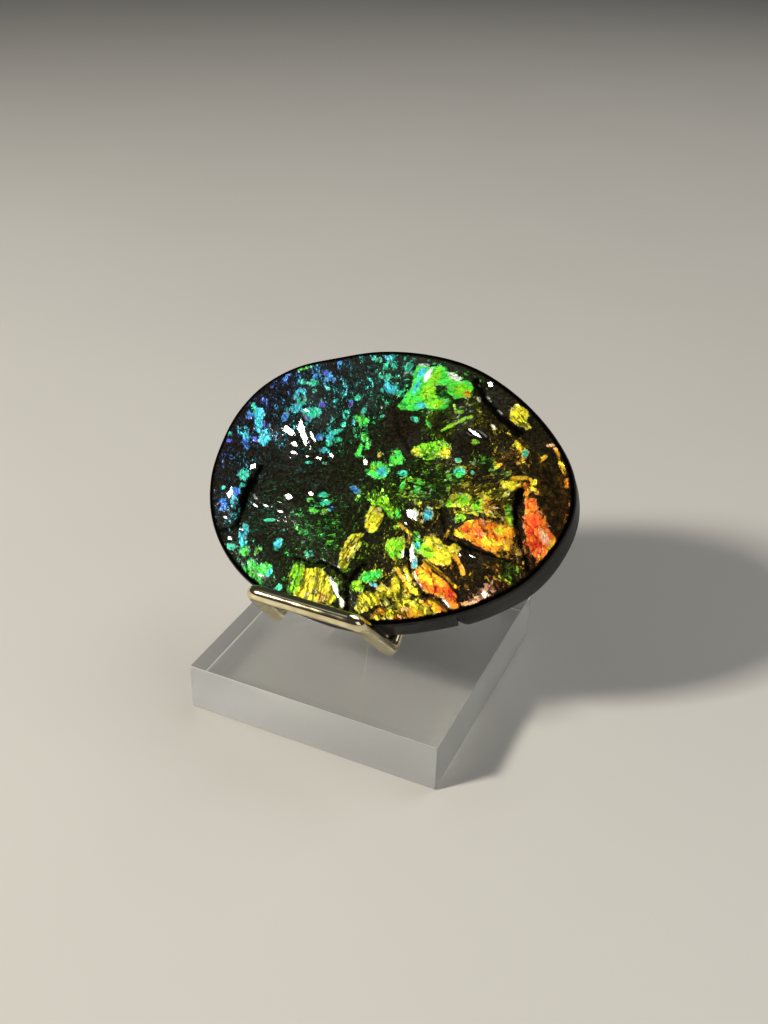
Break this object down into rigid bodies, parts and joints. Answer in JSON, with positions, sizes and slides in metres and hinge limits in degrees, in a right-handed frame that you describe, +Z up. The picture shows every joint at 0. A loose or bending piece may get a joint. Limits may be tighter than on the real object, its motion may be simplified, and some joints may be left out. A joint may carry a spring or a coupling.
{
  "type": "ammolite specimen on a wire stand",
  "caption": "Polished oval slab of ammolite leaning in a bent gilt wire cradle that is planted in a square block of clear acrylic.",
  "frame": {"origin": "centre of the clear block's underside", "axes": "+Z up, -Y towards the front of the block, where the wire's lip is, +X to the right seen from the front"},
  "size_m": [0.0695, 0.0522, 0.0594],
  "materials": {
    "clear_acrylic": "clear, polished top and underside with fine handling scratches, satin sides",
    "gilt_wire": "polished, thin pale gold plating",
    "ammolite": "polished and clear coated face with iridescent patches, satin dark rim, sawn back"
  },
  "bodies": {
    "root": {"acrylic_block": "clear_acrylic", "wire_cradle": "gilt_wire", "ammolite_slab": "ammolite"}
  },
  "joints": []
}
